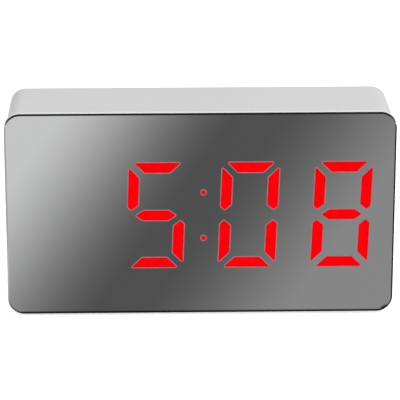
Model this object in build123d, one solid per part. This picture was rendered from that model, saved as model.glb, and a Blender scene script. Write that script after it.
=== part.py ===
from build123d import *
from math import radians, tan
import os

# Desk clock with a mirror front. Sizes in mm, front faces -Y, up is +Z.
# The case is sized from what it holds: width from the display, height from
# the battery tub and key board, depth from the stack of parts between them.

# Reading shown: the lit segments of each digit, left to right
digit_segments = ["", "acdfg", "abcdef", "abcdefg"]
segment_names = "abcdefg"

# Seven-segment digits
digit_pitch = 26.27
digit_width = 16.65
digit_height = 31.95
digit_slant = 2.15
segment_stroke = 3.5
corner_cut = 1.1
inner_cut = 1.2
tip_gap = 2.5
tip_inset = 1.35
tip_rise = 1.25
waist_cut = 1.75
bar_tip_inset = 2.15
segment_round = 0.5
segment_least_round = 0.15
segment_rim = 0.3
dot_diameter = 1.9
dot_spacing = 13.7
dot_shift = 0.33
display_shift = 0.5
display_drop = 0.2

# Light box behind the digits
reflector_rim = 1.4
reflector_depth = 6.8
reflector_corner = 0.8
diffuser_depth = 1.2
diffuser_ledge = 0.4
diffuser_gap = 0.05
dot_ledge = 0.2
dot_led_room = 3.2
dot_led_depth = 2.5
mask_thickness = 0.2
mask_gap = 0.25
mask_inset = 0.3
led_length = 2.0
led_width = 1.2
led_height = 0.8

# Mirror plate and its tape
plate_thickness = 2.0
plate_corner = 5.0
plate_edge_round = 0.5
plate_overhang = 0.35
tape_thickness = 0.3
tape_inset = 0.7
tape_land = 1.0

# Housing
housing_wall = 2.0
front_wall = 2.0
rear_draft = 0.4
rear_edge_round = 1.0
front_edge_round = 0.3
inner_edge_round = 0.4
window_gap = 0.3
window_border = 4.97
window_corner = 1.0
post_diameter = 6.0
post_inset = 5.0
web_thickness = 1.2
web_drop = 0.6
boss_diameter = 5.0
boss_gap = 0.9
boss_x = 25.0

# Feet
foot_proud = 0.5
foot_diameter = 8.0
foot_gap = 0.2
foot_seat = 0.5
foot_chamfer = 0.3
foot_side_inset = 13.0
foot_front_inset = 7.0
foot_rear_inset = 7.0

# Back cover and battery tub
cover_thickness = 2.0
cover_gap = 0.2
cover_edge_round = 0.3
rear_recess = 1.2
tub_margin = 1.45
tub_lip = 1.4
tub_floor = 1.5
tub_corner = 1.5
board_to_tub = 1.75

# Battery door
door_thickness = 1.6
door_ledge = 1.2
door_gap = 0.3
door_corner = 1.5
door_edge_round = 0.25
tab_width = 6.0
tab_x = 14.0
tab_thickness = 1.2
tab_reach = 2.0
tab_lug = 1.4
tab_gap = 0.15
tab_swing = 0.7
latch_width = 11.0
latch_length = 8.0
latch_slot = 0.8
latch_nose_width = 8.0
latch_nose_thickness = 1.0
latch_nose_depth = 1.2
latch_nose_gap = 0.25
grip_count = 3
grip_pitch = 1.5
grip_width = 0.7
grip_height = 0.3
grip_length = 8.0
grip_start = 1.5
scoop_diameter = 6.4
scoop_depth = 0.9

# Cells and contacts
cell_count = 3
cell_diameter = 10.5
cell_length = 44.5
cell_pitch = 11.0
cell_nub_diameter = 3.8
cell_nub_length = 0.9
cell_chamfer = 0.5
cell_seat_gap = 0.1
cell_side_gap = 0.3
cell_door_gap = 0.5
contact_thickness = 0.4
contact_width = 8.4
contact_below = 2.0
contact_above = 5.0
contact_dimple = 0.6
dimple_diameter = 3.0
bridge_low = 1.0
bridge_high = 4.0
spring_length = 5.0
spring_wire = 0.6
spring_base = 6.4
spring_tip = 4.0
spring_turns = 3.0
spring_sides = 6
tail_width = 2.0
tail_reach = 1.5
tail_gap = 0.1
tail_rise = 2.0

# Circuit boards
board_thickness = 1.6
board_gap = 0.6
notch_gap = 0.6
key_board_height = 11.3
key_board_end = 9.0
key_gap = 1.2
key_margin = 1.35
key_boss_diameter = 4.2

# Buttons on the back, and the inlet and buzzer in the same row
button_names = ["set", "up", "down", "alarm"]
row_pitch = 13.5
row_start = -27.0
button_diameter = 7.0
button_gap = 0.3
button_proud = 0.8
button_round = 0.4
flange_diameter = 8.8
flange_thickness = 0.8
flange_gap = 0.1
button_travel = 0.4
switch_side = 6.0
switch_height = 3.5
switch_round = 0.5
plunger_diameter = 3.5
plunger_proud = 0.95
plunger_depth = 1.0
plunger_gap = 0.3
plunger_room = 0.2
usb_width = 7.4
usb_height = 2.6
usb_taper = 1.0
usb_wall = 0.3
usb_round = 0.3
usb_mouth_gap = 0.5
usb_setback = 0.3
usb_base = 1.6
usb_fit = 0.05
tongue_width = 4.2
tongue_thickness = 0.6
tongue_setback = 1.0
buzzer_end = 5.5
buzzer_diameter = 9.0
buzzer_height = 4.5
buzzer_round = 0.5
buzzer_port = 1.5
sound_hole = 1.4
sound_ring = 5.2
sound_count = 6

# Screws
cover_screw_head = 5.0
cover_screw_head_height = 1.0
cover_screw_shank = 2.3
cover_screw_length = 8.0
board_screw_head = 3.8
board_screw_head_height = 1.2
board_screw_shank = 1.8
board_screw_length = 5.0
thread_gap = 0.1
hole_gap = 0.3
head_gap = 0.3
head_sink = 0.1
recess_length = 0.56
recess_width = 0.7
recess_depth = 0.6

# Small parts on the boards, and wires
chip_side = 14.0
chip_drop = 2.0
chip_end = 0.55
chip_width = 7.5
chip_height = 2.2
chip_lift = 0.1
lead_pairs = 14
lead_pitch = 1.27
lead_width = 0.4
lead_reach = 0.9
lead_height = 1.1
crystal_side = 21.0
crystal_rise = 12.0
crystal_diameter = 2.0
crystal_length = 6.0
crystal_pin = 0.4
crystal_pin_pitch = 0.8
crystal_pin_reach = 2.0
capacitor_side = 17.0
capacitor_drop = 6.0
capacitor_diameter = 6.3
capacitor_height = 7.5
capacitor_groove = 0.3
capacitor_round = 0.4
wire_diameter = 1.2
wire_bend = 1.6
wire_gap = 0.05
wire_drop = 2.6
wire_end = 3.0
ribbon_width = 9.0
ribbon_thickness = 0.8
ribbon_bend = 1.2
ribbon_drop = 6.5
ribbon_rise = 3.0
ribbon_straight = 1.8

# Sizes that follow from the above
slant_shift = tan(radians(digit_slant))
digit_count = len(digit_segments)
reflector_width = (digit_pitch * (digit_count - 1) + digit_width
                   + digit_height * slant_shift + 2 * reflector_rim)
reflector_height = digit_height + 2 * reflector_rim
plate_width = reflector_width + 2 * window_gap + 2 * window_border
bay_length = cell_length + contact_dimple + spring_length + 2 * contact_thickness
bay_height = cell_count * cell_pitch + 2 * cell_side_gap
door_width = bay_length + 2 * door_ledge
door_height = bay_height + 2 * door_ledge
tub_width = door_width + 2 * tub_lip
tub_height = door_height + 2 * tub_lip
cover_height = tub_margin + tub_height + key_gap + key_board_height + key_margin
cover_inset = plate_overhang + rear_draft + housing_wall + cover_gap
plate_height = cover_height + 2 * cover_inset
depth = (plate_thickness + mask_gap + mask_thickness + reflector_depth + board_thickness
         + board_to_tub + tub_floor + cell_seat_gap + cell_diameter + cell_door_gap
         + door_thickness + rear_recess)

# Levels along Y, front to back
plate_front = -depth / 2
plate_back = plate_front + plate_thickness
housing_front = plate_back + tape_thickness
wall_back = housing_front + front_wall
reflector_front = plate_back + mask_gap + mask_thickness
board_front = reflector_front + reflector_depth
board_back = board_front + board_thickness
rear = depth / 2
cover_outer = rear - rear_recess
cover_inner = cover_outer - cover_thickness
door_inner = cover_outer - door_thickness
cell_axis = door_inner - cell_door_gap - cell_diameter / 2
tub_front = cell_axis - cell_diameter / 2 - cell_seat_gap - tub_floor
key_back = cover_inner - flange_gap - flange_thickness - plunger_proud - switch_height
key_front = key_back - board_thickness

# Levels along Z, bottom to top
mid = foot_proud + plate_height / 2
display_mid = mid - display_drop
cover_bottom = foot_proud + cover_inset
tub_bottom = cover_bottom + tub_margin
door_bottom = tub_bottom + tub_lip
door_mid = door_bottom + door_height / 2
door_top = door_bottom + door_height
key_bottom = tub_bottom + tub_height + key_gap
key_mid = key_bottom + key_board_height / 2
foot_top = foot_proud + plate_overhang + rear_draft + foot_seat

# Places along X
post_x = plate_width / 2 - cover_inset - post_inset
post_z = plate_height / 2 - cover_inset - post_inset
boss_z = reflector_height / 2 + window_gap + boss_gap + boss_diameter / 2
key_board_width = plate_width - 2 * cover_inset - 2 * key_board_end
button_x = [row_start + row_pitch * i for i in range(len(button_names))]
usb_x = row_start + row_pitch * len(button_names)
key_boss_x = [row_start + row_pitch / 2, usb_x - row_pitch / 2]
buzzer_x = buzzer_end - key_board_width / 2
chip_x = chip_side - plate_width / 2
crystal_x = crystal_side - plate_width / 2
capacitor_x = plate_width / 2 - capacitor_side
chip_length = lead_pitch * (lead_pairs - 1) + lead_width + 2 * chip_end
tail_x = tub_width / 2 + tail_reach
cell_z = [door_mid + cell_pitch * (i - (cell_count - 1) / 2) for i in range(cell_count)]
corners = [(-1, -1), (1, -1), (-1, 1), (1, 1)]
post_places = [(i * post_x, mid + j * post_z) for i, j in corners]
boss_places = [(display_shift + i * boss_x, display_mid + j * boss_z) for i, j in corners]
key_boss_places = [(x, key_mid) for x in key_boss_x]


# An upright drawing plane at depth y, with x to the right and z up
def upright(y):
    return Plane(origin=(0, y, 0), x_dir=(1, 0, 0), z_dir=(0, -1, 0))


# A drawn outline given thickness between two depths
def slab(outline, y_near, y_far):
    return extrude(upright(y_far) * outline, amount=y_far - y_near, dir=(0, -1, 0))


# A disc standing across Y at (x, z)
def peg(place, diameter, y_near, y_far):
    return slab(Pos(place[0], place[1]) * Circle(diameter / 2), y_near, y_far)


# A block between two depths, centred at (x, z)
def block(place, width, height, y_near, y_far):
    return slab(Pos(place[0], place[1]) * Rectangle(width, height), y_near, y_far)


# The outline of the plate drawn in by an inset, corners kept parallel
def case_outline(inset):
    shape = RectangleRounded(plate_width - 2 * inset, plate_height - 2 * inset, plate_corner - inset)
    return Pos(0, mid) * shape


# The draft's inset at a depth
def draft(y):
    return rear_draft * (y - housing_front) / (rear - housing_front)


# A drafted prism that follows the case outline
def drafted(inset, y_near, y_far):
    near = upright(y_near) * case_outline(inset + draft(y_near))
    far = upright(y_far) * case_outline(inset + draft(y_far))
    return loft([near, far], ruled=True)


# The corner points of one segment, about the digit's centre
def segment_points(name):
    side = digit_width / 2
    top = digit_height / 2
    half = segment_stroke / 2
    inner = side - segment_stroke
    flat = inner - inner_cut
    if name == "g":
        end = side - bar_tip_inset
        return [(-end, 0), (-flat, half), (flat, half), (end, 0), (flat, -half), (-flat, -half)]
    if name in "ad":
        sign = 1 if name == "a" else -1
        low = top - segment_stroke
        long = side - corner_cut
        return [(-long, sign * top), (long, sign * top), (flat, sign * low), (-flat, sign * low)]
    across = -1 if name in "ef" else 1
    up = 1 if name in "bf" else -1
    tip = tip_gap / 2
    upper = [(side, top - corner_cut), (inner, top - segment_stroke - inner_cut),
             (inner, tip + waist_cut), (side - tip_inset, tip), (side, tip + tip_rise)]
    return [(across * x, up * z) for x, z in upper]


# One slanted segment outline, drawn in by an inset with its corners kept parallel
def segment_outline(digit, name, inset):
    centre = display_shift + digit_pitch * (digit - (digit_count - 1) / 2)
    points = [(x + z * slant_shift, z) for x, z in segment_points(name)]
    shape = Polygon(*points, align=None)
    if inset:
        shape = offset(shape, -inset, kind=Kind.INTERSECTION)
    shape = fillet(shape.vertices(), max(segment_round - inset, segment_least_round))
    return Pos(centre, display_mid) * shape


# The middle of a segment, where its light sits
def segment_place(digit, name):
    points = segment_points(name)
    x = sum(p[0] for p in points) / len(points)
    z = sum(p[1] for p in points) / len(points)
    centre = display_shift + digit_pitch * (digit - (digit_count - 1) / 2)
    return (centre + x + z * slant_shift, display_mid + z)


all_segments = [(digit, name) for digit in range(digit_count) for name in segment_names]
dot_places = [(display_shift + dot_shift, display_mid + sign * dot_spacing / 2) for sign in (1, -1)]


# Screw along Y with a cross recess; way +1 puts the head to the rear
def screw(place, seat, head, head_height, shank, length, way):
    top = seat + way * head_height
    tip = seat - way * length
    body = peg(place, head, min(seat, top), max(seat, top))
    body += peg(place, shank, min(seat, tip), max(seat, tip))
    floor = top - way * recess_depth
    for width, height in ((recess_length * head, recess_width), (recess_width, recess_length * head)):
        body -= block(place, width, height, min(floor, top), max(floor, top))
    return body


def make_front_mirror():
    plate = slab(case_outline(0), plate_front, plate_back)
    return fillet(plate.faces().sort_by(Axis.Y)[0].edges(), plate_edge_round)


def make_mirror_tape():
    frame = case_outline(plate_overhang + tape_inset)
    opening = RectangleRounded(reflector_width + 2 * window_gap + 2 * tape_land,
                               reflector_height + 2 * window_gap + 2 * tape_land, window_corner)
    return slab(frame - Pos(display_shift, display_mid) * opening, plate_back, housing_front)


# Drafted shell, open at the rear, with posts for the cover and bosses for the board
def make_housing():
    outer = drafted(plate_overhang, housing_front, rear)
    outer = fillet(outer.faces().sort_by(Axis.Y)[-1].edges(), rear_edge_round)
    outer = fillet(outer.faces().sort_by(Axis.Y)[0].edges(), front_edge_round)
    shell = outer - drafted(plate_overhang + housing_wall, wall_back, rear)
    rim = shell.faces().sort_by(Axis.Y)[-1]
    shell = fillet(rim.inner_wires()[0].edges(), inner_edge_round)
    window = RectangleRounded(reflector_width + 2 * window_gap,
                              reflector_height + 2 * window_gap, window_corner)
    shell -= slab(Pos(display_shift, display_mid) * window, housing_front, wall_back)
    web_top = cover_inner - web_drop
    reach = post_inset + cover_gap + housing_wall / 2
    for i, j in corners:
        x, z = i * post_x, mid + j * post_z
        shell += peg((x, z), post_diameter, wall_back, cover_inner)
        shell += block((x + i * reach / 2, z), reach, web_thickness, wall_back, web_top)
        shell += block((x, z + j * reach / 2), web_thickness, reach, wall_back, web_top)
    pilot = cover_screw_shank + 2 * thread_gap
    floor = cover_inner - cover_screw_length
    shell -= [peg(place, pilot, floor, cover_inner) for place in post_places]
    for place in boss_places:
        shell += peg(place, boss_diameter, wall_back, board_front)
    pilot = board_screw_shank + 2 * thread_gap
    shell -= [peg(place, pilot, wall_back, board_front) for place in boss_places]
    for x, y in foot_places():
        shell -= Pos(x, y, 0) * Cylinder(foot_diameter / 2 + foot_gap, foot_top,
                                         align=(Align.CENTER, Align.CENTER, Align.MIN))
    return shell


def foot_places():
    x = plate_width / 2 - foot_side_inset
    front = housing_front + foot_front_inset
    back = rear - foot_rear_inset
    return [(-x, front), (x, front), (-x, back), (x, back)]


def make_feet():
    pad = Cylinder(foot_diameter / 2, foot_top, align=(Align.CENTER, Align.CENTER, Align.MIN))
    pad = chamfer(pad.edges().group_by(Axis.Z)[0], foot_chamfer)
    return [Pos(x, y, 0) * pad for x, y in foot_places()]


# White block with a stepped well for every segment: a shallow seat for the
# diffuser, then a narrower shaft down to the light
def make_segment_reflector():
    body = RectangleRounded(reflector_width, reflector_height, reflector_corner)
    body = slab(Pos(display_shift, display_mid) * body, reflector_front, board_front)
    seat_back = reflector_front + diffuser_depth
    wells = []
    for digit, name in all_segments:
        seat = segment_outline(digit, name, segment_rim - diffuser_gap)
        shaft = segment_outline(digit, name, segment_rim + diffuser_ledge)
        wells.append(slab(seat, reflector_front, seat_back))
        wells.append(slab(shaft, seat_back, board_front))
    core = dot_diameter - 2 * segment_rim
    for place in dot_places:
        wells.append(peg(place, core + 2 * diffuser_gap, reflector_front, seat_back))
        wells.append(peg(place, core - 2 * dot_ledge, seat_back, board_front))
        wells.append(peg(place, dot_led_room, board_front - dot_led_depth, board_front))
    return body - wells


# The diffusers that show the reading, or the dark ones
def make_segments(lit):
    chosen = [s for s in all_segments if (s[1] in digit_segments[s[0]]) == lit]
    back = reflector_front + diffuser_depth
    return [slab(segment_outline(digit, name, segment_rim), reflector_front, back)
            for digit, name in chosen]


def make_colon_dots():
    core = dot_diameter - 2 * segment_rim
    return [peg(place, core, reflector_front, reflector_front + diffuser_depth) for place in dot_places]


def make_display_mask():
    film = RectangleRounded(reflector_width - 2 * mask_inset, reflector_height - 2 * mask_inset,
                            reflector_corner)
    film = slab(Pos(display_shift, display_mid) * film, plate_back + mask_gap, reflector_front)
    windows = [slab(segment_outline(digit, name, 0), plate_back + mask_gap, reflector_front)
               for digit, name in all_segments]
    windows += [peg(place, dot_diameter, plate_back + mask_gap, reflector_front) for place in dot_places]
    return film - windows


def make_segment_leds():
    chips = []
    for digit, name in all_segments:
        size = (led_length, led_width) if name in "adg" else (led_width, led_length)
        chips.append(block(segment_place(digit, name), *size, board_front - led_height, board_front))
    for place in dot_places:
        chips.append(block(place, led_length, led_width, board_front - led_height, board_front))
    return chips


# How far the display board's edge lies inside the plate's
def board_inset():
    return plate_overhang + draft(board_back) + housing_wall + board_gap


# Board notched at its corners around the housing's posts
def make_display_board():
    inset = board_inset()
    width = plate_width - 2 * inset
    height = plate_height - 2 * inset
    outline = Pos(0, mid) * Rectangle(width, height)
    clear = post_diameter / 2 + notch_gap
    notch_w = width / 2 - post_x + clear
    notch_h = height / 2 - post_z + clear
    for i, j in corners:
        place = Pos(i * (width - notch_w) / 2, mid + j * (height - notch_h) / 2)
        outline -= place * Rectangle(notch_w, notch_h)
    board = slab(outline, board_front, board_back)
    hole = board_screw_shank + 2 * hole_gap
    return board - [peg(place, hole, board_front, board_back) for place in boss_places]


def make_board_screws():
    return [screw(place, board_back, board_screw_head, board_screw_head_height,
                  board_screw_shank, board_screw_length, 1) for place in boss_places]


# Chip body with bent leads down both long sides
def make_controller_chip():
    z_mid = mid - chip_drop
    low = board_back + chip_lift
    body = block((chip_x, z_mid), chip_width, chip_length, low, low + chip_height)
    for i in range(lead_pairs):
        z = z_mid + lead_pitch * (i - (lead_pairs - 1) / 2)
        for side in (-1, 1):
            x = chip_x + side * (chip_width + lead_reach) / 2
            body += block((x, z), lead_reach, lead_width, board_back, board_back + lead_height)
    return body


# Watch crystal lying on the board, with two pins
def make_clock_crystal():
    y = board_back + crystal_diameter / 2 + chip_lift
    z = mid + crystal_rise
    can = Pos(crystal_x, y, z) * Cylinder(crystal_diameter / 2, crystal_length)
    for side in (-1, 1):
        pin_z = z - (crystal_length + crystal_pin_reach) / 2
        pin = Pos(crystal_x + side * crystal_pin_pitch / 2, y, pin_z)
        can += pin * Box(crystal_pin, crystal_pin, crystal_pin_reach)
    return can


# Standing can with a rolled groove near its foot
def make_smoothing_capacitor():
    place = (capacitor_x, mid - capacitor_drop)
    top = board_back + capacitor_height
    can = peg(place, capacitor_diameter, board_back, top)
    can = fillet(can.faces().sort_by(Axis.Y)[-1].edges(), capacitor_round)
    groove = board_back + 3 * capacitor_groove
    ring = peg(place, capacitor_diameter, groove, groove + 2 * capacitor_groove)
    return can - (ring - peg(place, capacitor_diameter - 2 * capacitor_groove, groove,
                             groove + 2 * capacitor_groove))


def usb_outline(grow):
    half = usb_width / 2
    top = usb_height / 2
    shape = Polygon((-half, top), (half, top), (half, 0), (half - usb_taper, -top),
                    (usb_taper - half, -top), (-half, 0), align=None)
    if grow:
        shape = offset(shape, grow, kind=Kind.INTERSECTION)
    return Pos(usb_x, key_mid) * fillet(shape.vertices(), usb_round)


def make_usb_shell():
    return slab(usb_outline(0) - usb_outline(-usb_wall), key_back, cover_outer - usb_setback)


def make_usb_insert():
    base = slab(usb_outline(-usb_wall - usb_fit), key_back, key_back + usb_base)
    end = cover_outer - usb_setback - tongue_setback
    return base + block((usb_x, key_mid), tongue_width, tongue_thickness, key_back, end)


def make_buzzer():
    place = (buzzer_x, key_mid)
    can = peg(place, buzzer_diameter, key_back, key_back + buzzer_height)
    can = fillet(can.faces().sort_by(Axis.Y)[-1].edges(), buzzer_round)
    return can - peg(place, buzzer_port, key_back + buzzer_height / 2, key_back + buzzer_height)


def sound_places():
    ring = PolarLocations(sound_ring / 2, sound_count)
    around = [(buzzer_x + p.position.X, key_mid + p.position.Y) for p in ring]
    return around + [(buzzer_x, key_mid)]


# Flat cover with the battery tub on its inner side, scalloped to the cells
def make_back_cover():
    plate = slab(case_outline(cover_inset), cover_inner, cover_outer)
    plate = fillet(plate.faces().sort_by(Axis.Y)[-1].edges(), cover_edge_round)
    tub = RectangleRounded(tub_width, tub_height, tub_corner)
    body = plate + slab(Pos(0, door_mid) * tub, tub_front, cover_inner)
    key_pilot = board_screw_shank + 2 * thread_gap
    for place in key_boss_places:
        body += peg(place, key_boss_diameter, key_back, cover_inner)
    rebate = RectangleRounded(door_width + 2 * door_gap, door_height + 2 * door_gap,
                              door_corner + door_gap)
    cuts = [slab(Pos(0, door_mid) * rebate, door_inner, cover_outer)]
    cuts.append(block((0, door_mid), bay_length, bay_height, cell_axis, door_inner))
    for z in cell_z:
        groove = Cylinder(cell_diameter / 2 + cell_seat_gap, bay_length, rotation=(0, 90, 0))
        cuts.append(Pos(0, cell_axis, z) * groove)
    cuts += [tab_pocket(side * tab_x) for side in (-1, 1)]
    cuts += [tail_slot(-1, cell_z[0]), tail_slot(1, cell_z[-1])]
    cuts.append(peg((0, door_top), scoop_diameter, cover_outer - scoop_depth, cover_outer))
    cuts += [peg((x, key_mid), button_diameter + 2 * button_gap, cover_inner, cover_outer)
             for x in button_x]
    mouth = RectangleRounded(usb_width + 2 * usb_mouth_gap, usb_height + 2 * usb_mouth_gap, usb_taper)
    cuts.append(slab(Pos(usb_x, key_mid) * mouth, cover_inner, cover_outer))
    cuts += [peg(place, sound_hole, cover_inner, cover_outer) for place in sound_places()]
    seat = cover_outer - cover_screw_head_height - head_sink
    for place in post_places:
        cuts.append(peg(place, cover_screw_shank + 2 * hole_gap, cover_inner, cover_outer))
        cuts.append(peg(place, cover_screw_head + 2 * head_gap, seat, cover_outer))
    cuts += [peg(place, key_pilot, key_back, cover_inner) for place in key_boss_places]
    return body - cuts


# Room under the skin for one of the door's tabs, with its swing
def tab_pocket(x):
    low = door_bottom - tab_reach - 2 * door_gap
    high = door_bottom + door_ledge + door_gap
    deep = cover_inner - tab_gap - tab_thickness - tab_swing
    width = tab_width + 2 * door_gap
    near = block((x, (low + high) / 2), width, high - low, deep, cover_inner)
    step = block((x, (door_bottom + high) / 2), width, high - door_bottom, cover_inner, door_inner)
    return near + step


def tail_slot(side, z):
    width = tub_width / 2 - bay_length / 2
    x = side * (bay_length + width) / 2
    y = cell_axis + tail_rise
    return block((x, z), width, tail_width + 2 * tail_gap,
                 y - tail_gap, y + contact_thickness + tail_gap)


# Flush door: two tabs under the skin below, a slotted latch tongue above
def make_battery_door():
    door = slab(Pos(0, door_mid) * RectangleRounded(door_width, door_height, door_corner),
                door_inner, cover_outer)
    door = fillet(door.faces().sort_by(Axis.Y)[-1].edges(), door_edge_round)
    slot_mid = door_top - latch_length / 2
    for side in (-1, 1):
        x = side * (latch_width + latch_slot) / 2
        door -= block((x, slot_mid), latch_slot, latch_length, door_inner, cover_outer)
        low = cover_inner - tab_gap - tab_thickness
        lug_z = door_bottom + tab_lug / 2
        door += block((side * tab_x, lug_z), tab_width, tab_lug, low, door_inner)
        tip_z = door_bottom - tab_reach / 2
        door += block((side * tab_x, tip_z), tab_width, tab_reach, low, cover_inner - tab_gap)
    nose_z = door_top - door_ledge - latch_nose_gap - latch_nose_thickness / 2
    door += block((0, nose_z), latch_nose_width, latch_nose_thickness,
                  door_inner - latch_nose_depth, door_inner)
    for i in range(grip_count):
        z = door_top - grip_start - grip_pitch * i
        door += block((0, z), grip_length, grip_width, cover_outer, cover_outer + grip_height)
    return door


def make_cover_screws():
    seat = cover_outer - cover_screw_head_height - head_sink
    return [screw(place, seat, cover_screw_head, cover_screw_head_height,
                  cover_screw_shank, cover_screw_length - cover_thickness, 1) for place in post_places]


# The end that carries the plus contact alternates from cell to cell
def plus_side(index):
    return -1 if index % 2 == 0 else 1


# Cell along X, its nub against the dimple of the plus contact
def make_battery_cells():
    can = Cylinder(cell_diameter / 2, cell_length - cell_nub_length, rotation=(0, 90, 0))
    can = chamfer(can.edges().filter_by(GeomType.CIRCLE), cell_chamfer)
    nub = Cylinder(cell_nub_diameter / 2, cell_nub_length, rotation=(0, 90, 0))
    can = Pos(-cell_nub_length / 2, 0, 0) * can
    can += Pos((cell_length - cell_nub_length) / 2, 0, 0) * nub
    end = bay_length / 2 - contact_thickness - contact_dimple - cell_length / 2
    cells = []
    for i, z in enumerate(cell_z):
        turn = Rot(0, 0, 180) if plus_side(i) < 0 else Rot(0, 0, 0)
        cells.append(Pos(plus_side(i) * end, cell_axis, z) * turn * can)
    return cells


# One contact leaf against an end wall, with a dimple where a plus nub rests
def contact_leaf(side, index):
    x = side * (bay_length - contact_thickness) / 2
    leaf = block((x, cell_z[index]), contact_thickness, contact_width,
                 cell_axis - contact_below, cell_axis + contact_above)
    if side == plus_side(index):
        dimple = Cylinder(dimple_diameter / 2, contact_dimple, rotation=(0, 90, 0))
        inner = bay_length / 2 - contact_thickness - contact_dimple / 2
        leaf += Pos(side * inner, cell_axis, cell_z[index]) * dimple
    return leaf


# Strip that joins two neighbouring leaves into one contact
def contact_bridge(side, index):
    x = side * (bay_length - contact_thickness) / 2
    z = (cell_z[index] + cell_z[index + 1]) / 2
    return block((x, z), contact_thickness, cell_pitch, cell_axis + bridge_low, cell_axis + bridge_high)


# Tail through the tub wall, where a wire is soldered
def contact_tail(side, index):
    reach = tail_x - bay_length / 2 + contact_thickness
    x = side * (tail_x - reach / 2)
    y = cell_axis + tail_rise
    return block((x, cell_z[index]), reach, tail_width, y, y + contact_thickness)


def make_battery_contacts():
    last = cell_count - 1
    contacts = [contact_leaf(-1, 0) + contact_tail(-1, 0),
                contact_leaf(-plus_side(last), last) + contact_tail(-plus_side(last), last)]
    for i in range(last):
        side = -plus_side(i)
        joined = contact_leaf(side, i) + contact_leaf(side, i + 1) + contact_bridge(side, i)
        contacts.append(joined)
    return contacts


# Tapered coil between a contact and the flat end of a cell
def make_battery_springs():
    height = spring_length - spring_wire
    narrowing = degrees_of((spring_tip - spring_base) / 2, height)
    path = Helix(height / spring_turns, height, (spring_base - spring_wire) / 2, cone_angle=narrowing)
    section = Plane(origin=path @ 0, z_dir=path % 0) * RegularPolygon(spring_wire / 2, spring_sides)
    coil = sweep(section, path=path, is_frenet=True)
    springs = []
    for i, z in enumerate(cell_z):
        side = -plus_side(i)
        start = side * (bay_length / 2 - contact_thickness - spring_wire / 2)
        turn = Rot(0, -90, 0) if side > 0 else Rot(0, 90, 0)
        springs.append(Pos(start, cell_axis, z) * turn * coil)
    return springs


def degrees_of(rise, run):
    return Vector(run, rise, 0).get_signed_angle(Vector(1, 0, 0), Vector(0, 0, -1))


def make_key_board():
    board = block((0, key_mid), key_board_width, key_board_height, key_front, key_back)
    hole = board_screw_shank + 2 * hole_gap
    return board - [peg(place, hole, key_front, key_back) for place in key_boss_places]


def make_key_board_screws():
    return [screw(place, key_front, board_screw_head, board_screw_head_height,
                  board_screw_shank, board_screw_length, -1) for place in key_boss_places]


# Round cap with a flange that keeps it behind the cover
def make_button(x):
    flange_back = cover_inner - flange_gap
    flange_front = flange_back - flange_thickness
    cap = peg((x, key_mid), button_diameter, flange_front, cover_outer + button_proud)
    cap = fillet(cap.faces().sort_by(Axis.Y)[-1].edges(), button_round)
    return cap + peg((x, key_mid), flange_diameter, flange_front, flange_back)


# The switch's own moving top, pushed by the cap
def make_plunger(x):
    top = key_back + switch_height + plunger_proud
    return peg((x, key_mid), plunger_diameter, top - plunger_proud - plunger_depth, top)


def make_tact_switches():
    top = key_back + switch_height
    bore = plunger_diameter + 2 * plunger_gap
    floor = top - plunger_depth - button_travel - plunger_room
    bodies = []
    for x in button_x:
        outline = Pos(x, key_mid) * RectangleRounded(switch_side, switch_side, switch_round)
        bodies.append(slab(outline, key_back, top) - peg((x, key_mid), bore, floor, top))
    return bodies


# Wire up the side of the tub, then into the front of the key board
def make_battery_lead(side, index):
    x = side * (tail_x + wire_diameter / 2 + wire_gap)
    y = cell_axis + tail_rise + contact_thickness / 2
    end_z = key_bottom + wire_end
    low = key_front - wire_drop
    points = [(y, cell_z[index] - tail_width / 2), (y, cell_z[index] + wire_end),
              (low, cell_z[index] + wire_end + abs(y - low)), (low, end_z), (key_front, end_z)]
    sheet = Plane(origin=(x, 0, 0), x_dir=(0, 1, 0), z_dir=(1, 0, 0))
    path = sheet * FilletPolyline(*points, radius=wire_bend)
    section = Plane(origin=path @ 0, z_dir=path % 0) * Circle(wire_diameter / 2)
    return sweep(section, path=path)


# Flat cable with an S bend between the two boards
def make_board_ribbon():
    end = mid + plate_height / 2 - board_inset() - ribbon_drop
    start = end - ribbon_rise
    points = [(key_front, start), (key_front - ribbon_straight, start),
              (board_back + ribbon_straight, end), (board_back, end)]
    sheet = Plane(origin=(0, 0, 0), x_dir=(0, 1, 0), z_dir=(1, 0, 0))
    path = FilletPolyline(*points, radius=ribbon_bend)
    strip = trace(path, ribbon_thickness)
    return extrude(sheet * strip, amount=ribbon_width / 2, both=True)


nodes = {
    "front_mirror": make_front_mirror(),
    "mirror_tape": make_mirror_tape(),
    "housing": make_housing(),
    "feet": make_feet(),
    "segment_reflector": make_segment_reflector(),
    "lit_segments": make_segments(True),
    "unlit_segments": make_segments(False),
    "colon_dots": make_colon_dots(),
    "display_mask": make_display_mask(),
    "segment_leds": make_segment_leds(),
    "display_board": make_display_board(),
    "board_screws": make_board_screws(),
    "controller_chip": make_controller_chip(),
    "clock_crystal": make_clock_crystal(),
    "smoothing_capacitor": make_smoothing_capacitor(),
    "back_cover": make_back_cover(),
    "battery_door": make_battery_door(),
    "cover_screws": make_cover_screws(),
    "battery_cells": make_battery_cells(),
    "battery_contacts": make_battery_contacts(),
    "battery_springs": make_battery_springs(),
    "battery_lead_red": make_battery_lead(-1, 0),
    "battery_lead_black": make_battery_lead(-plus_side(cell_count - 1), cell_count - 1),
    "key_board": make_key_board(),
    "key_board_screws": make_key_board_screws(),
    "tact_switches": make_tact_switches(),
    "usb_shell": make_usb_shell(),
    "usb_insert": make_usb_insert(),
    "buzzer": make_buzzer(),
    "board_ribbon": make_board_ribbon(),
}
for button, x in zip(button_names, button_x):
    nodes[button + "_button"] = make_button(x)
    nodes[button + "_plunger"] = make_plunger(x)

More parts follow.
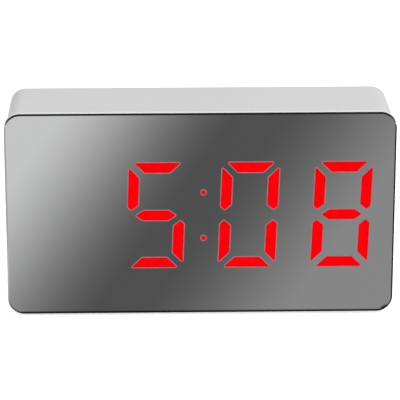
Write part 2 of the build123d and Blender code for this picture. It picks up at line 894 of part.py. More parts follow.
os.makedirs("parts", exist_ok=True)
for name, shape in nodes.items():
    pieces = shape if isinstance(shape, list) else [shape]
    solids = [solid for piece in pieces for solid in piece.solids()]
    whole = solids[0] if len(solids) == 1 else Compound(solids)
    export_step(whole, "parts/" + name + ".step")
print("case", round(plate_width, 2), round(depth, 2), round(foot_proud + plate_height, 2))
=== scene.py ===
import math
import bpy
import numpy as np
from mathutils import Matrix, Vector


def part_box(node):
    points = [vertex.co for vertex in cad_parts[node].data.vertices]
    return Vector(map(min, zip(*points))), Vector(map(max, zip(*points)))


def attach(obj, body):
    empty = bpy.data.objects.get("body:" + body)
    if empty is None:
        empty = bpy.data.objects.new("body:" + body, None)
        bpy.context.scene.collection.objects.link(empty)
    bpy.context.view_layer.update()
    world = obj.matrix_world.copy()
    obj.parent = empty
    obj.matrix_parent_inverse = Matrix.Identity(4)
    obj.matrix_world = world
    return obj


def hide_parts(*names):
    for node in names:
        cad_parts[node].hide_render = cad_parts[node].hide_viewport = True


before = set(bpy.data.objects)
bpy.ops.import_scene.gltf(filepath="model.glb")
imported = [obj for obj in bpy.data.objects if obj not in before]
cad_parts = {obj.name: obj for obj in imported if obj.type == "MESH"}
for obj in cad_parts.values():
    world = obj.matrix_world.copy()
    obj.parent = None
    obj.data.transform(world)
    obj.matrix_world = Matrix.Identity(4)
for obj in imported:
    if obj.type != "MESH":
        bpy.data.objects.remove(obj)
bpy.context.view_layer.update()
print("stage 1: the CAD frame is loaded,", len(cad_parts), "nodes")

# noise: the spans of its values that colours and gloss are drawn from, and how fine it is
noiseSettings = {"toneSpan": (0.35, 0.65), "wideSpan": (0.3, 0.7),
                 "toneDetail": 3.0, "softDetail": 2.0, "glossDetail": 4.0, "grainDetail": 2.0}


# shader helpers
def newMaterial(name):
    material = bpy.data.materials.new(name)
    material.use_nodes = True
    tree = material.node_tree
    tree.nodes.clear()
    output = tree.nodes.new("ShaderNodeOutputMaterial")
    return material, tree, output


def addNoise(tree, scale, detail, stretch=(1.0, 1.0, 1.0)):
    place = tree.nodes.new("ShaderNodeTexCoord")
    mapping = tree.nodes.new("ShaderNodeMapping")
    mapping.inputs["Scale"].default_value = stretch
    noise = tree.nodes.new("ShaderNodeTexNoise")
    noise.inputs["Scale"].default_value = scale
    noise.inputs["Detail"].default_value = detail
    tree.links.new(place.outputs["Object"], mapping.inputs["Vector"])
    tree.links.new(mapping.outputs["Vector"], noise.inputs["Vector"])
    return noise.outputs["Fac"]


# straight ramp from low to high over the wide span of the noise
def addRange(tree, source, low, high):
    node = tree.nodes.new("ShaderNodeMapRange")
    node.inputs["From Min"].default_value, node.inputs["From Max"].default_value = noiseSettings["wideSpan"]
    node.inputs["To Min"].default_value = low
    node.inputs["To Max"].default_value = high
    tree.links.new(source, node.inputs["Value"])
    return node.outputs["Result"]


# colour that runs from dark to light over a span of the noise
def addTone(tree, source, dark, light, span=noiseSettings["toneSpan"]):
    ramp = tree.nodes.new("ShaderNodeValToRGB")
    for element, place, color in zip(ramp.color_ramp.elements, span, (dark, light)):
        element.position = place
        element.color = (*color, 1.0)
    tree.links.new(source, ramp.inputs["Fac"])
    return ramp.outputs["Color"]


def addMath(tree, operation, *terms):
    node = tree.nodes.new("ShaderNodeMath")
    node.operation = operation
    for socket, term in zip(node.inputs, terms):
        if isinstance(term, float):
            socket.default_value = term
        else:
            tree.links.new(term, socket)
    return node.outputs["Value"]


# ramp from 0 to reach over a span
def addStep(tree, source, span, reach, kind="LINEAR"):
    node = tree.nodes.new("ShaderNodeMapRange")
    node.interpolation_type = kind
    node.inputs["From Min"].default_value, node.inputs["From Max"].default_value = span
    node.inputs["To Max"].default_value = reach
    tree.links.new(source, node.inputs["Value"])
    return node.outputs["Result"]


# x, y and z of a texture coordinate or of a direction
def addParts(tree, kind, output):
    parts = tree.nodes.new("ShaderNodeSeparateXYZ")
    tree.links.new(tree.nodes.new(kind).outputs[output], parts.inputs["Vector"])
    return parts.outputs["X"], parts.outputs["Y"], parts.outputs["Z"]


# a surface whose colour drifts between two tones, with uneven gloss and a fine grain
def makeSurface(name, look):
    material, tree, output = newMaterial(name)
    shader = tree.nodes.new("ShaderNodeBsdfPrincipled")
    shader.inputs["Metallic"].default_value = look.get("metallic", 0.0)
    shader.inputs["IOR"].default_value = look.get("ior", 1.5)
    stretch = look.get("stretch", (1.0, 1.0, 1.0))
    tone = addNoise(tree, look["toneScale"], noiseSettings["toneDetail"])
    tree.links.new(addTone(tree, tone, look["dark"], look["light"]), shader.inputs["Base Color"])
    gloss = addNoise(tree, look["glossScale"], noiseSettings["glossDetail"], stretch)
    tree.links.new(addRange(tree, gloss, *look["roughness"]), shader.inputs["Roughness"])
    if "grain" in look:
        grain = addNoise(tree, look["grainScale"], noiseSettings["grainDetail"], stretch)
        bump = tree.nodes.new("ShaderNodeBump")
        bump.inputs["Strength"].default_value = look["grain"]
        bump.inputs["Distance"].default_value = look["grainDepth"]
        tree.links.new(grain, bump.inputs["Height"])
        tree.links.new(bump.outputs["Normal"], shader.inputs["Normal"])
    tree.links.new(shader.outputs["BSDF"], output.inputs["Surface"])
    return material


# a face that gives its own light, a little stronger in patches
def makeGlow(name, look):
    material, tree, output = newMaterial(name)
    shader = tree.nodes.new("ShaderNodeBsdfPrincipled")
    shader.inputs["Base Color"].default_value = (0.0, 0.0, 0.0, 1.0)
    shader.inputs["Roughness"].default_value = glowSettings["roughness"]
    shader.inputs["Specular IOR Level"].default_value = 0.0
    shader.inputs["Emission Strength"].default_value = glowSettings["strength"]
    tone = addNoise(tree, look["toneScale"], noiseSettings["softDetail"])
    tree.links.new(addTone(tree, tone, look["dark"], look["light"]), shader.inputs["Emission Color"])
    tree.links.new(shader.outputs["BSDF"], output.inputs["Surface"])
    return material


# mesh from whole arrays; smooth and slots have one entry per face
def addMesh(name, points, faces, smooth, slots, materials):
    mesh = bpy.data.meshes.new(name)
    mesh.from_pydata(points.tolist(), [], [list(map(int, face)) for face in faces])
    mesh.polygons.foreach_set("use_smooth", np.asarray(smooth, dtype=bool))
    for material in materials:
        mesh.materials.append(material)
    mesh.polygons.foreach_set("material_index", np.asarray(slots, dtype=np.int32))
    mesh.update()
    thing = bpy.data.objects.new(name, mesh)
    bpy.context.scene.collection.objects.link(thing)
    return thing


# quads that join ring after ring of count points each
def ringQuads(rings, count):
    j, i = np.meshgrid(np.arange(rings - 1), np.arange(count), indexing="ij")
    k = (i + 1) % count
    near, far = j * count, (j + 1) * count
    return np.stack([near + i, near + k, far + k, far + i], -1).reshape(-1, 4)


# looks of the surfaces; colours are linear
looks = {
    "shell": {"dark": (0.735, 0.735, 0.735), "light": (0.765, 0.765, 0.765), "toneScale": 18.0, "ior": 1.46,
              "roughness": (0.42, 0.52), "glossScale": 90.0,
              "grain": 0.10, "grainScale": 2600.0, "grainDepth": 0.00004},
    "cover": {"dark": (0.70, 0.70, 0.70), "light": (0.74, 0.74, 0.735), "toneScale": 25.0, "ior": 1.46,
              "roughness": (0.50, 0.62), "glossScale": 120.0,
              "grain": 0.22, "grainScale": 2200.0, "grainDepth": 0.00006},
    "door": {"dark": (0.71, 0.71, 0.71), "light": (0.745, 0.745, 0.74), "toneScale": 30.0, "ior": 1.46,
             "roughness": (0.48, 0.60), "glossScale": 130.0,
             "grain": 0.20, "grainScale": 2300.0, "grainDepth": 0.00006},
    "button": {"dark": (0.42, 0.42, 0.43), "light": (0.47, 0.47, 0.48), "toneScale": 60.0,
               "roughness": (0.34, 0.46), "glossScale": 300.0,
               "grain": 0.08, "grainScale": 3000.0, "grainDepth": 0.00003},
    "rubber": {"dark": (0.10, 0.10, 0.10), "light": (0.14, 0.14, 0.14), "toneScale": 150.0,
               "roughness": (0.65, 0.80), "glossScale": 300.0,
               "grain": 0.15, "grainScale": 2500.0, "grainDepth": 0.00005},
    "edge": {"dark": (0.90, 0.91, 0.91), "light": (0.95, 0.955, 0.955), "toneScale": 60.0,
             "roughness": (0.25, 0.40), "glossScale": 250.0,
             "grain": 0.08, "grainScale": 1800.0, "grainDepth": 0.00003},
    "bevel": {"dark": (0.685, 0.690, 0.695), "light": (0.710, 0.713, 0.715), "toneScale": 14.0,
              "metallic": 1.0, "roughness": (0.015, 0.035), "glossScale": 90.0},
    "tape": {"dark": (0.010, 0.010, 0.010), "light": (0.022, 0.022, 0.022), "toneScale": 120.0,
             "roughness": (0.70, 0.85), "glossScale": 300.0,
             "grain": 0.2, "grainScale": 2500.0, "grainDepth": 0.00005},
    "reflector": {"dark": (0.80, 0.80, 0.78), "light": (0.86, 0.86, 0.84), "toneScale": 50.0,
                  "roughness": (0.55, 0.70), "glossScale": 200.0},
    "unlit": {"dark": (0.06, 0.012, 0.012), "light": (0.09, 0.02, 0.018), "toneScale": 150.0,
              "roughness": (0.25, 0.35), "glossScale": 300.0},
    "film": {"dark": (0.006, 0.006, 0.006), "light": (0.012, 0.012, 0.012), "toneScale": 80.0,
             "roughness": (0.30, 0.45), "glossScale": 200.0},
    "resin": {"dark": (0.70, 0.58, 0.22), "light": (0.80, 0.68, 0.30), "toneScale": 300.0,
              "roughness": (0.15, 0.25), "glossScale": 500.0},
    "board": {"dark": (0.008, 0.070, 0.025), "light": (0.016, 0.105, 0.040), "toneScale": 260.0,
              "roughness": (0.28, 0.42), "glossScale": 400.0,
              "grain": 0.10, "grainScale": 1500.0, "grainDepth": 0.00004},
    "steel": {"dark": (0.46, 0.46, 0.46), "light": (0.60, 0.60, 0.60), "toneScale": 200.0, "metallic": 1.0,
              "roughness": (0.28, 0.45), "glossScale": 500.0, "stretch": (1.0, 1.0, 6.0),
              "grain": 0.10, "grainScale": 1800.0, "grainDepth": 0.00003},
    "nickel": {"dark": (0.62, 0.60, 0.56), "light": (0.74, 0.72, 0.67), "toneScale": 180.0, "metallic": 1.0,
               "roughness": (0.18, 0.32), "glossScale": 400.0},
    "chip": {"dark": (0.012, 0.012, 0.012), "light": (0.026, 0.026, 0.026), "toneScale": 220.0,
             "roughness": (0.48, 0.62), "glossScale": 500.0,
             "grain": 0.12, "grainScale": 3000.0, "grainDepth": 0.00003},
    "wireRed": {"dark": (0.32, 0.008, 0.008), "light": (0.42, 0.014, 0.012), "toneScale": 200.0,
                "roughness": (0.35, 0.50), "glossScale": 300.0},
    "wireBlack": {"dark": (0.010, 0.010, 0.010), "light": (0.022, 0.022, 0.022), "toneScale": 200.0,
                  "roughness": (0.35, 0.50), "glossScale": 300.0},
    "ribbon": {"dark": (0.22, 0.22, 0.23), "light": (0.30, 0.30, 0.31), "toneScale": 200.0,
               "roughness": (0.40, 0.55), "glossScale": 300.0, "stretch": (12.0, 1.0, 1.0),
               "grain": 0.3, "grainScale": 300.0, "grainDepth": 0.0001},
}
surfaces = {name: makeSurface(name, look) for name, look in looks.items()}

# lit faces: core, deeper ring and pale rim of a segment, and a dot's core
glowSettings = {"strength": 1.0, "roughness": 0.6}
glows = {
    "litRed": {"dark": (0.930, 0.0008, 0.0024), "light": (0.985, 0.0012, 0.0036), "toneScale": 400.0},
    "litEdge": {"dark": (0.600, 0.0035, 0.0070), "light": (0.680, 0.0050, 0.0100), "toneScale": 400.0},
    "litRim": {"dark": (0.500, 0.110, 0.135), "light": (0.590, 0.150, 0.180), "toneScale": 500.0},
    "litDot": {"dark": (0.640, 0.0040, 0.026), "light": (0.740, 0.0060, 0.036), "toneScale": 400.0},
}
surfaces.update({name: makeGlow(name, look) for name, look in glows.items()})

# cells: place across each cell from the fraction of z over the pitch; every second cell is turned round
cellSettings = {"axisY": 0.00545, "firstZ": 0.0133, "pitch": 0.011, "nub": 0.0024, "bandFrom": 0.0135,
                "endFacing": 0.8, "toneScale": 60.0, "glossScale": 150.0, "roughness": (0.24, 0.31),
                "jacket": ((0.021, 0.084, 0.142), (0.025, 0.093, 0.155)),
                "band": ((0.46, 0.46, 0.45), (0.50, 0.50, 0.49)),
                "metal": ((0.58, 0.56, 0.52), (0.70, 0.68, 0.63))}


# radius = square root of (up squared + across squared); bare metal is where it is small or at a flat end
def makeCells(s):
    material, tree, output = newMaterial("cell")
    shader = tree.nodes.new("ShaderNodeBsdfPrincipled")
    x, y, z = addParts(tree, "ShaderNodeTexCoord", "Object")
    facing = addParts(tree, "ShaderNodeNewGeometry", "Normal")[0]
    turn = addMath(tree, "MULTIPLY_ADD", z, 1 / s["pitch"], 0.5 - s["firstZ"] / s["pitch"])
    across = addMath(tree, "SUBTRACT", addMath(tree, "FRACT", turn), 0.5)
    across = addMath(tree, "MULTIPLY", across, s["pitch"])
    up = addMath(tree, "SUBTRACT", y, s["axisY"])
    radius = addMath(tree, "SQRT", addMath(tree, "ADD", addMath(tree, "MULTIPLY", up, up),
                                           addMath(tree, "MULTIPLY", across, across)))
    flipped = addMath(tree, "MODULO", addMath(tree, "FLOOR", turn), 2.0)
    along = addMath(tree, "MULTIPLY", x, addMath(tree, "MULTIPLY_ADD", flipped, 2.0, -1.0))
    end = addMath(tree, "GREATER_THAN", addMath(tree, "ABSOLUTE", facing), s["endFacing"])
    bare = addMath(tree, "MAXIMUM", end, addMath(tree, "LESS_THAN", radius, s["nub"]))
    banded = addMath(tree, "GREATER_THAN", along, s["bandFrom"])
    tone = addNoise(tree, s["toneScale"], noiseSettings["toneDetail"])
    color = addTone(tree, tone, *s["jacket"])
    for share, name in ((banded, "band"), (bare, "metal")):
        mix = tree.nodes.new("ShaderNodeMixRGB")
        tree.links.new(share, mix.inputs["Fac"])
        tree.links.new(color, mix.inputs["Color1"])
        tree.links.new(addTone(tree, tone, *s[name]), mix.inputs["Color2"])
        color = mix.outputs["Color"]
    tree.links.new(color, shader.inputs["Base Color"])
    tree.links.new(bare, shader.inputs["Metallic"])
    gloss = addNoise(tree, s["glossScale"], noiseSettings["glossDetail"])
    tree.links.new(addRange(tree, gloss, *s["roughness"]), shader.inputs["Roughness"])
    tree.links.new(shader.outputs["BSDF"], output.inputs["Surface"])
    return material


surfaces["cell"] = makeCells(cellSettings)

nodeLooks = {
    "mirror_tape": "tape", "housing": "shell", "feet": "rubber", "segment_reflector": "reflector",
    "lit_segments": "litRed", "colon_dots": "litDot", "unlit_segments": "unlit", "display_mask": "film",
    "segment_leds": "resin", "display_board": "board", "board_screws": "steel", "controller_chip": "chip",
    "clock_crystal": "nickel", "smoothing_capacitor": "nickel", "back_cover": "cover",
    "battery_door": "door", "cover_screws": "steel", "battery_cells": "cell", "battery_contacts": "nickel",
    "battery_lead_red": "wireRed", "battery_lead_black": "wireBlack", "key_board": "board",
    "key_board_screws": "steel", "tact_switches": "chip", "usb_shell": "nickel", "usb_insert": "chip",
    "buzzer": "chip", "board_ribbon": "ribbon",
}
for button in ("set", "up", "down", "alarm"):
    nodeLooks[button + "_button"] = "button"
    nodeLooks[button + "_plunger"] = "chip"
for node, look in nodeLooks.items():
    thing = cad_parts[node]
    thing.data.materials.clear()
    thing.data.materials.append(surfaces[look])
print("stage 2: materials are on", len(nodeLooks), "CAD nodes")

# mirror plate: the outline moved in by r(1 - sin t) and back by r(1 - cos t) rounds the front edge
plateSettings = {"corner": 0.0046, "edgeRound": 0.0005, "cornerSteps": 20, "roundSteps": 10,
                 "setBack": 0.00004, "toneScale": 14.0, "roughness": (0.012, 0.03),
                 "dark": (0.835, 0.84, 0.845), "light": (0.865, 0.868, 0.87)}


def makeMirror(s):
    material, tree, output = newMaterial("halfMirror")
    shader = tree.nodes.new("ShaderNodeBsdfPrincipled")
    shader.inputs["Metallic"].default_value = 1.0
    tone = addNoise(tree, s["toneScale"], noiseSettings["softDetail"])
    tree.links.new(addTone(tree, tone, s["dark"], s["light"]), shader.inputs["Base Color"])
    tree.links.new(addRange(tree, tone, *s["roughness"]), shader.inputs["Roughness"])
    tree.links.new(shader.outputs["BSDF"], output.inputs["Surface"])
    return material


# four quarter circles: a point is its corner's centre + radius x (cos a, sin a)
def roundedCorners(width, height, radius, steps):
    angle = np.concatenate([np.linspace(q, q + 0.5, steps) for q in (0.0, 0.5, 1.0, 1.5)]) * np.pi
    sign = np.repeat(np.array([[1, 1], [-1, 1], [-1, -1], [1, -1]]), steps, axis=0)
    centre = sign * np.array([width / 2 - radius, height / 2 - radius])
    return centre, np.stack([np.cos(angle), np.sin(angle)], -1)


def makePlate(s):
    low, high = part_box("front_mirror")
    r = s["edgeRound"]
    turn = np.linspace(0.0, np.pi / 2, s["roundSteps"])
    inset = np.concatenate([r * (1 - np.sin(turn)), [0.0]])
    depth = np.concatenate([low[1] + s["setBack"] + r * (1 - np.cos(turn)), [high[1]]])
    width, height = high[0] - low[0], high[2] - low[2]
    centre, way = roundedCorners(width, height, s["corner"], s["cornerSteps"])
    flat = centre[None] + (s["corner"] - inset)[:, None, None] * way[None]
    rings, count = len(inset), len(centre)
    points = np.empty((rings, count, 3))
    points[..., 0] = flat[..., 0] + (low[0] + high[0]) / 2
    points[..., 1] = depth[:, None]
    points[..., 2] = flat[..., 1] + (low[2] + high[2]) / 2
    front = np.arange(count)[::-1]
    back = np.arange(count) + (rings - 1) * count
    bands = ringQuads(rings, count)[:, ::-1]
    mirrorSlot, edgeSlot, backSlot, bevelSlot = range(4)
    bandSlots = np.repeat([bevelSlot] * (rings - 2) + [edgeSlot], count)
    slots = np.concatenate([[mirrorSlot, backSlot], bandSlots])
    smooth = np.concatenate([[False, False], np.ones(len(bands), dtype=bool)])
    materials = [makeMirror(s)] + [surfaces[name] for name in ("edge", "film", "bevel")]
    faces = [front, back] + list(bands)
    plate = addMesh("mirror_plate", points.reshape(-1, 3), faces, smooth, slots, materials)
    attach(plate, "clock_body")
    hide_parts("front_mirror")


makePlate(plateSettings)
print("stage 3: the mirror plate is made")

# lit reading: each segment is a convex outline sheared by the slant: a pale rim, a deeper ring, a core
readingSettings = {"digits": ("", "acdfg", "abcdef", "abcdefg"), "pitch": 0.02627, "width": 0.01665,
                   "height": 0.03195, "stroke": 0.0035, "slant": 2.15, "cornerCut": 0.0011,
                   "innerCut": 0.0012, "tipGap": 0.0025, "tipInset": 0.00135, "tipRise": 0.00125,
                   "waistCut": 0.00175, "barTip": 0.00215, "round": 0.0005, "leastRound": 0.00015,
                   "rim": 0.0003, "edge": 0.00035, "shift": 0.0005, "middle": 0.0303, "front": -0.013985,
                   "dotSize": 0.0019, "dotGap": 0.0137, "dotShift": 0.00033, "arcSteps": 6, "dotSteps": 32}


# corners about the digit's middle: g is a six-sided bar, a and d are four-sided, the uprights are one
# five-sided outline mirrored to its four places
def segmentPoints(name, s):
    side, top, half = s["width"] / 2, s["height"] / 2, s["stroke"] / 2
    inner = side - s["stroke"]
    flat = inner - s["innerCut"]
    if name == "g":
        end = side - s["barTip"]
        return np.array([(-end, 0), (-flat, -half), (flat, -half), (end, 0), (flat, half), (-flat, half)])
    if name in "ad":
        long, low = side - s["cornerCut"], top - s["stroke"]
        points = np.array([(-long, top), (-flat, low), (flat, low), (long, top)])
        return points if name == "a" else (points * (1, -1))[::-1]
    tip = s["tipGap"] / 2
    points = np.array([(side, top - s["cornerCut"]), (inner, top - s["stroke"] - s["innerCut"]),
                       (inner, tip + s["waistCut"]), (side - s["tipInset"], tip),
                       (side, tip + s["tipRise"])])
    across = -1 if name in "ef" else 1
    up = 1 if name in "bf" else -1
    points = points * (across, up)
    return points if across * up > 0 else points[::-1]


# unit vectors from each corner to the corner before it and to the corner after it
def cornerWays(points):
    before = np.roll(points, 1, axis=0) - points
    after = np.roll(points, -1, axis=0) - points
    before /= np.linalg.norm(before, axis=1, keepdims=True)
    after /= np.linalg.norm(after, axis=1, keepdims=True)
    return before, after


# inset by d: each corner moves along its bisector by d / sin(half angle)
def insetOutline(points, d):
    before, after = cornerWays(points)
    middle = before + after
    middle /= np.linalg.norm(middle, axis=1, keepdims=True)
    sine = np.sqrt((1 - (before * after).sum(1)) / 2)
    return points + middle * (d / sine)[:, None]


# each corner becomes a circular arc from r / tan(half angle) before it to as far after, as a rational curve
def roundOutline(points, r, steps):
    before, after = cornerWays(points)
    half = np.arccos((before * after).sum(1)) / 2
    reach = (r / np.tan(half))[:, None]
    start, end = (points + before * reach)[:, None], (points + after * reach)[:, None]
    u = np.linspace(0.0, 1.0, steps)[None, :, None]
    pull = 2 * u * (1 - u) * np.sin(half)[:, None, None]
    curve = (1 - u) ** 2 * start + pull * points[:, None] + u ** 2 * end
    return (curve / ((1 - u) ** 2 + pull + u ** 2)).reshape(-1, 2)


# each point moves sideways by tan(slant) x its height above the middle; a dot is a circle
def makeReading(s):
    shear = math.tan(math.radians(s["slant"]))
    depths = (0.0, s["rim"], s["rim"] + s["edge"])
    rimSlot, edgeSlot, coreSlot, dotSlot = range(4)
    stacks = []
    for digit, lit in enumerate(s["digits"]):
        centre = s["shift"] + s["pitch"] * (digit - (len(s["digits"]) - 1) / 2)
        for name in lit:
            across, up = segmentPoints(name, s).T
            points = np.stack([across + (up * shear + centre), up + s["middle"]], -1)
            insets = [insetOutline(points, d) for d in depths]
            rounds = [max(s["round"] - d, s["leastRound"]) for d in depths]
            stacks.append(([roundOutline(p, r, s["arcSteps"]) for p, r in zip(insets, rounds)], coreSlot))
    angle = np.linspace(0.0, 2 * np.pi, s["dotSteps"], endpoint=False)
    circle = np.stack([np.cos(angle), np.sin(angle)], -1)
    for sign in (-1, 1):
        place = np.array([s["shift"] + s["dotShift"], s["middle"] + sign * s["dotGap"] / 2])
        stacks.append(([place + circle * (s["dotSize"] / 2 - d) for d in depths], dotSlot))
    points, faces, slots, start = [], [], [], 0
    for outlines, core in stacks:
        count = len(outlines[0])
        points += outlines
        faces += list(ringQuads(len(outlines), count) + start)
        faces.append(np.arange(count) + start + (len(outlines) - 1) * count)
        slots += [rimSlot] * count + [edgeSlot] * count + [core]
        start += len(outlines) * count
    flat = np.concatenate(points)
    sheet = np.stack([flat[:, 0], np.full(len(flat), s["front"]), flat[:, 1]], -1)
    reading = addMesh("lit_reading", sheet, faces, np.zeros(len(faces)), slots,
                      [surfaces[name] for name in ("litRim", "litEdge", "litRed", "litDot")])
    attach(reading, "clock_body")


makeReading(readingSettings)
print("stage 4: the lit reading is made")

# coil springs: a round wire carried along a helix whose radius falls evenly from base to tip
springSettings = {"count": 3, "length": 0.005, "wire": 0.0006, "base": 0.0064, "tip": 0.0040,
                  "turns": 3.0, "flatTurns": 1.0, "around": 12, "perTurn": 36}


def makeSprings(s):
    low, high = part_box("battery_springs")
    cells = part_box("battery_cells")
    pitch = (cells[1][2] - cells[0][2] - (cells[1][1] - cells[0][1])) / (s["count"] - 1)
    middleY = (cells[0][1] + cells[1][1]) / 2
    middleZ = (cells[0][2] + cells[1][2]) / 2
    wire, turns = s["wire"] / 2, s["turns"] + s["flatTurns"]
    t = np.linspace(0.0, 1.0, int(turns * s["perTurn"]) + 1)
    rise = np.clip(t * turns - s["flatTurns"] / 2, 0.0, s["turns"]) / s["turns"]
    radius = s["base"] / 2 - wire + (s["tip"] - s["base"]) / 2 * rise
    turn = 2 * np.pi * turns * t
    path = np.stack([(s["length"] - s["wire"]) * rise, radius * np.cos(turn), radius * np.sin(turn)], -1)
    along = np.gradient(path, axis=0)
    along /= np.linalg.norm(along, axis=1, keepdims=True)
    out = np.stack([np.zeros_like(turn), np.cos(turn), np.sin(turn)], -1)
    side = np.cross(along, out)
    side /= np.linalg.norm(side, axis=1, keepdims=True)
    out = np.cross(side, along)
    a = np.linspace(0.0, 2 * np.pi, s["around"], endpoint=False)[None, :, None]
    tube = path[:, None] + wire * (np.cos(a) * out[:, None] + np.sin(a) * side[:, None])
    quads = ringQuads(len(t), s["around"])
    caps = [np.arange(s["around"])[::-1], np.arange(s["around"]) + (len(t) - 1) * s["around"]]
    points, faces = [], []
    for i in range(s["count"]):
        way = 1 if i % 2 else -1
        coil = tube.reshape(-1, 3) * (way, 1, way)
        wall = low[0] if way > 0 else high[0]
        coil = coil + (wall + way * wire, middleY, middleZ + pitch * (i - (s["count"] - 1) / 2))
        points.append(coil)
        faces += [face + i * len(coil) for face in list(quads) + caps]
    springs = addMesh("coil_springs", np.concatenate(points), faces, np.ones(len(faces)),
                      np.zeros(len(faces)), [surfaces["nickel"]])
    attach(springs, "clock_body")
    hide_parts("battery_springs")


makeSprings(springSettings)
print("stage 5: the coil springs are made")

# studio: floor, a card that only reflections see, soft lights and a white surround
floorSettings = {"size": 6.0, "height": -0.00005, "color": 0.88, "toneShift": 0.01, "toneScale": 6.0,
                 "lift": 0.60}


# a square that is lifted towards white where it is seen or reflected, and clear from below
def addFloor(s):
    half, z = s["size"] / 2, s["height"]
    points = np.array([(-half, -half, z), (half, -half, z), (half, half, z), (-half, half, z)])
    material, tree, output = newMaterial("floor")
    shader = tree.nodes.new("ShaderNodeBsdfDiffuse")
    tone = addNoise(tree, s["toneScale"], noiseSettings["softDetail"])
    dark, light = (s["color"] - s["toneShift"],) * 3, (s["color"] + s["toneShift"],) * 3
    tree.links.new(addTone(tree, tone, dark, light, noiseSettings["wideSpan"]), shader.inputs["Color"])
    lift = tree.nodes.new("ShaderNodeEmission")
    path = tree.nodes.new("ShaderNodeLightPath")
    seen = addMath(tree, "MAXIMUM", path.outputs["Is Glossy Ray"], path.outputs["Is Transmission Ray"])
    seen = addMath(tree, "MAXIMUM", path.outputs["Is Camera Ray"], seen)
    tree.links.new(addMath(tree, "MULTIPLY", seen, s["lift"]), lift.inputs["Strength"])
    both = tree.nodes.new("ShaderNodeAddShader")
    tree.links.new(shader.outputs["BSDF"], both.inputs[0])
    tree.links.new(lift.outputs["Emission"], both.inputs[1])
    oneSided = tree.nodes.new("ShaderNodeMixShader")
    tree.links.new(tree.nodes.new("ShaderNodeNewGeometry").outputs["Backfacing"], oneSided.inputs["Fac"])
    tree.links.new(both.outputs["Shader"], oneSided.inputs[1])
    tree.links.new(tree.nodes.new("ShaderNodeBsdfTransparent").outputs["BSDF"], oneSided.inputs[2])
    tree.links.new(oneSided.outputs["Shader"], output.inputs["Surface"])
    floor = addMesh("studio_floor", points, [np.arange(4)], [False], [0], [material])


# the card's tone is a painted reflection that runs in bands slantwise over the mirror: place = across /
# away, each of them a x + b y + c, a plane in perspective; tone = start + each step's height x the mean of
# a straight and an eased ramp, then cut to a share of itself by a painted contact shadow close under the
# plate, by painted shade in the reflection with the turn about its right edge and by a painted shadow by
# its lower right corner
cardSettings = {"x": (-0.60, 0.60), "y": (-0.60, 0.0), "wing": (0.058, 0.12), "height": 0.0002,
                "across": (3940.0, 588.70, 443.37), "away": (0.0412, -1.3358, 1.0),
                "gain": 1.17, "start": 171.5,
                "steps": ((-10.0, 68.0, 26.0), (111.8, 307.0, -118.2), (361.2, 523.9, 54.4)),
                # near: painted contact shadow close under the plate
                "contactShadowY": (-0.0170, -0.0162), "contactShadowX": (0.064, 0.056), "contactShadowFall": 0.68,
                # side: painted shade in the reflection beyond the plate's right edge
                "darkSidePlace": (0.055, -0.014), "darkSideTurn": (0.10, 0.70), "darkSideFall": 0.78,
                # corner: painted shadow by the plate's lower right corner
                "cornerShadowSlope": 1.96, "cornerShadowLine": (0.0836, 0.0862), "cornerShadowX": (0.0503, 0.0525),
                "cornerShadowEnd": (0.0590, 0.0555), "cornerShadowY": (-0.0208, -0.0180), "cornerShadowFall": 0.96}
# light of a screen tone = ((tone / white + offset) / (1 + offset)) to the power
screenTone = {"white": 255.0, "offset": 0.055, "power": 2.4}


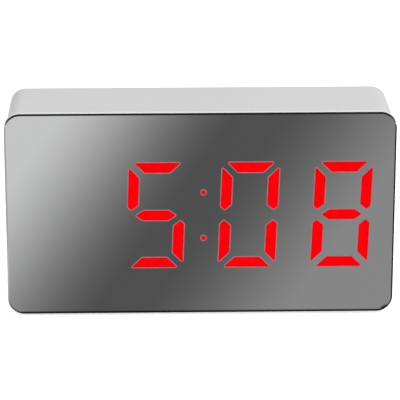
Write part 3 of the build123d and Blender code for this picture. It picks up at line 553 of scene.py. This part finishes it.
def addCard(s):
    (x0, x1), (y0, y1), (wingX, wingY), z = s["x"], s["y"], s["wing"], s["height"]
    points = np.array([(x0, y0, z), (x1, y0, z), (x1, wingY, z), (wingX, wingY, z), (wingX, y1, z),
                       (-wingX, y1, z), (-wingX, wingY, z), (x0, wingY, z)])
    material, tree, output = newMaterial("paintedReflectionCard")
    x, y, _ = addParts(tree, "ShaderNodeTexCoord", "Object")
    over, under = [addMath(tree, "ADD", addMath(tree, "MULTIPLY_ADD", x, s[name][0], s[name][2]),
                           addMath(tree, "MULTIPLY", y, s[name][1])) for name in ("across", "away")]
    place = addMath(tree, "DIVIDE", over, under)
    # painted reflection: the tone the mirror shows, built up from screen tones
    tone = s["start"]
    for low, high, reach in s["steps"]:
        straight = addStep(tree, place, (low, high), reach / 2)
        eased = addStep(tree, place, (low, high), reach / 2, "SMOOTHSTEP")
        tone = addMath(tree, "ADD", tone, addMath(tree, "ADD", straight, eased))
    # painted contact shadow: the tone falls close under the plate, within the plate's width
    near = addMath(tree, "MULTIPLY", addStep(tree, y, s["contactShadowY"], s["contactShadowFall"]),
                   addStep(tree, addMath(tree, "ABSOLUTE", x), s["contactShadowX"], 1.0))
    # painted shade in the reflection: the tone falls beyond the plate's right edge, turning about it
    turn = addMath(tree, "ARCTAN2", addMath(tree, "SUBTRACT", x, s["darkSidePlace"][0]),
                   addMath(tree, "SUBTRACT", s["darkSidePlace"][1], y))
    side = addStep(tree, turn, s["darkSideTurn"], s["darkSideFall"])
    # painted shadow: the tone falls in a wedge by the plate's lower right corner
    slope = addMath(tree, "MULTIPLY_ADD", x, s["cornerShadowSlope"], y)
    corner = addStep(tree, slope, s["cornerShadowLine"], s["cornerShadowFall"])
    for source, span in ((x, s["cornerShadowX"]), (x, s["cornerShadowEnd"]), (y, s["cornerShadowY"])):
        corner = addMath(tree, "MULTIPLY", corner, addStep(tree, source, span, 1.0))
    # the painted contact shadow, the painted shade beyond the right edge and the painted corner shadow cut
    # the tone
    for fall in (near, side, corner):
        tone = addMath(tree, "MULTIPLY", tone, addMath(tree, "SUBTRACT", 1.0, fall))
    whole, offset = 1 + screenTone["offset"], screenTone["offset"]
    light = addMath(tree, "MULTIPLY_ADD", tone, 1 / screenTone["white"] / whole, offset / whole)
    light = addMath(tree, "MULTIPLY", addMath(tree, "POWER", light, screenTone["power"]), s["gain"])
    glow = tree.nodes.new("ShaderNodeEmission")
    tree.links.new(light, glow.inputs["Strength"])
    tree.links.new(glow.outputs["Emission"], output.inputs["Surface"])
    card = addMesh("painted_reflection_card", points, [np.arange(len(points))], [False], [0], [material])
    card.visible_camera = False
    card.visible_diffuse = False
    card.visible_shadow = False
    card.visible_transmission = False


# round soft lights that all face one point and stay out of reflections
lightAim = (0.0, 0.0, 0.03)
lightSettings = {"key": {"place": (0.62, -0.25, 0.90), "size": 0.9, "power": 5.75},
                 "fill": {"place": (-0.80, -0.45, 0.70), "size": 1.0, "power": 1.8},
                 "rear": {"place": (0.10, 0.90, 0.55), "size": 0.9, "power": 1.5}}


def addLight(name, s):
    lamp = bpy.data.lights.new(name, "AREA")
    lamp.shape = "DISK"
    lamp.size = s["size"]
    lamp.energy = s["power"]
    thing = bpy.data.objects.new(name, lamp)
    bpy.context.scene.collection.objects.link(thing)
    way = np.array(s["place"]) - np.array(lightAim)
    thing.location = s["place"]
    flat = math.hypot(way[0], way[1])
    thing.rotation_euler = (math.atan2(flat, way[2]), 0.0, math.atan2(way[0], -way[1]))
    thing.visible_glossy = False


# white where it is seen, ambient for soft light, and for reflections from dim in front to lighter behind
worldSettings = {"ambient": 0.455, "front": 0.02, "behind": 0.45, "turn": (0.25, 0.75)}


def addWorld(s):
    world = bpy.data.worlds.new("studio")
    world.use_nodes = True
    bpy.context.scene.world = world
    tree = world.node_tree
    tree.nodes.clear()
    output = tree.nodes.new("ShaderNodeOutputWorld")
    back = tree.nodes.new("ShaderNodeBackground")
    back.inputs["Color"].default_value = (1.0, 1.0, 1.0, 1.0)
    path = tree.nodes.new("ShaderNodeLightPath")
    glossy = path.outputs["Is Glossy Ray"]
    towards = addParts(tree, "ShaderNodeTexCoord", "Generated")[1]
    mirrored = addStep(tree, towards, s["turn"], s["behind"] - s["front"])
    mirrored = addMath(tree, "ADD", mirrored, s["front"])
    plain = addMath(tree, "MULTIPLY", addMath(tree, "SUBTRACT", 1.0, glossy), s["ambient"])
    light = addMath(tree, "MULTIPLY_ADD", mirrored, glossy, plain)
    seen = addMath(tree, "MAXIMUM", path.outputs["Is Camera Ray"], path.outputs["Is Transmission Ray"])
    tree.links.new(addMath(tree, "MAXIMUM", light, seen), back.inputs["Strength"])
    tree.links.new(back.outputs["Background"], output.inputs["Surface"])


addFloor(floorSettings)
addCard(cardSettings)
for name, settings in lightSettings.items():
    addLight(name, settings)
addWorld(worldSettings)
print("stage 6: the studio is set")

# camera fitted to the photograph: angles in radians, lens and sensor in mm, half a pixel of shift
cameraSettings = {"place": (-0.0145131, -0.6739892, 0.2715277), "pitch": -0.3444132, "roll": -0.0001169,
                  "yaw": -0.0218988, "lens": 223.725, "sensor": 36.0, "shift": (-0.00125, 0.00125),
                  "clip": (0.01, 20.0)}


def addCamera(s):
    lens = bpy.data.cameras.new("camera")
    lens.sensor_width = s["sensor"]
    lens.lens = s["lens"]
    lens.shift_x, lens.shift_y = s["shift"]
    lens.clip_start, lens.clip_end = s["clip"]
    camera = bpy.data.objects.new("camera", lens)
    bpy.context.scene.collection.objects.link(camera)
    camera.location = s["place"]
    camera.rotation_euler = (math.pi / 2 + s["pitch"], s["roll"], s["yaw"])
    bpy.context.scene.camera = camera


addCamera(cameraSettings)
bpy.context.scene.view_settings.view_transform = "Standard"
